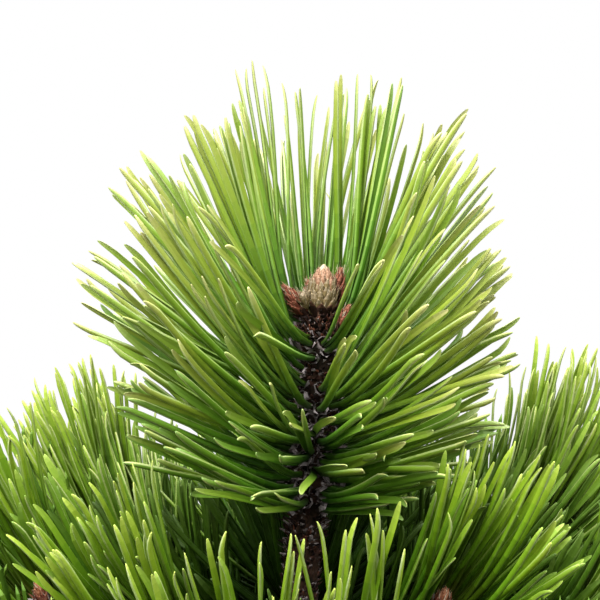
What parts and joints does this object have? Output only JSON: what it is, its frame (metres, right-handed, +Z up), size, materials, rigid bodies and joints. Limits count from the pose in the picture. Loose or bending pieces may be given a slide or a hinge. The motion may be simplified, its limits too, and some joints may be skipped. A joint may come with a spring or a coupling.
{
  "type": "potted dwarf pine",
  "caption": "Young compact Bosnian pine standing in a plain round nursery pot, with a whole trunk, an upright leader and tiers of needled shoots.",
  "frame": {"origin": "middle of the pot's flat underside, on the ground", "axes": "+Z up along the trunk; the plant's front, which the picture sees, faces -Y; +X to the right in that view"},
  "size_m": [0.3011, 0.3013, 0.3869],
  "materials": {
    "pot_plastic": "matt black moulded plastic",
    "potting_soil": "moist bark and peat mix",
    "bark": "rough scaly bark",
    "bud_scales": "dry papery scales",
    "needle_green": "satin needles"
  },
  "bodies": {
    "root": {"pot": "pot_plastic", "soil": "potting_soil", "trunk": "bark", "leader_bud": "bud_scales", "upper_bough_1": "bark", "upper_bough_2": "bark", "upper_bough_3": "bark", "upper_bough_4": "bark", "upper_bough_5": "bark", "upper_bough_6": "bark", "upper_bough_7": "bark", "upper_bough_8": "bark", "upper_bough_9": "bark", "middle_bough_1": "bark", "middle_bough_2": "bark", "middle_bough_3": "bark", "middle_bough_4": "bark", "middle_bough_5": "bark", "middle_bough_6": "bark", "lowest_bough_1": "bark", "lowest_bough_2": "bark", "lowest_bough_3": "bark", "lowest_bough_4": "bark", "lowest_bough_5": "bark", "lowest_bough_6": "bark", "leader_needles": "needle_green", "upper_needles_1": "needle_green", "upper_needles_2": "needle_green", "upper_needles_3": "needle_green", "upper_needles_4": "needle_green", "upper_needles_5": "needle_green", "upper_needles_6": "needle_green", "upper_needles_7": "needle_green", "upper_needles_8": "needle_green", "upper_needles_9": "needle_green", "middle_needles_1": "needle_green", "middle_needles_2": "needle_green", "middle_needles_3": "needle_green", "middle_needles_4": "needle_green", "middle_needles_5": "needle_green", "middle_needles_6": "needle_green", "lowest_needles_1": "needle_green", "lowest_needles_2": "needle_green", "lowest_needles_3": "needle_green", "lowest_needles_4": "needle_green", "lowest_needles_5": "needle_green", "lowest_needles_6": "needle_green"}
  },
  "joints": []
}
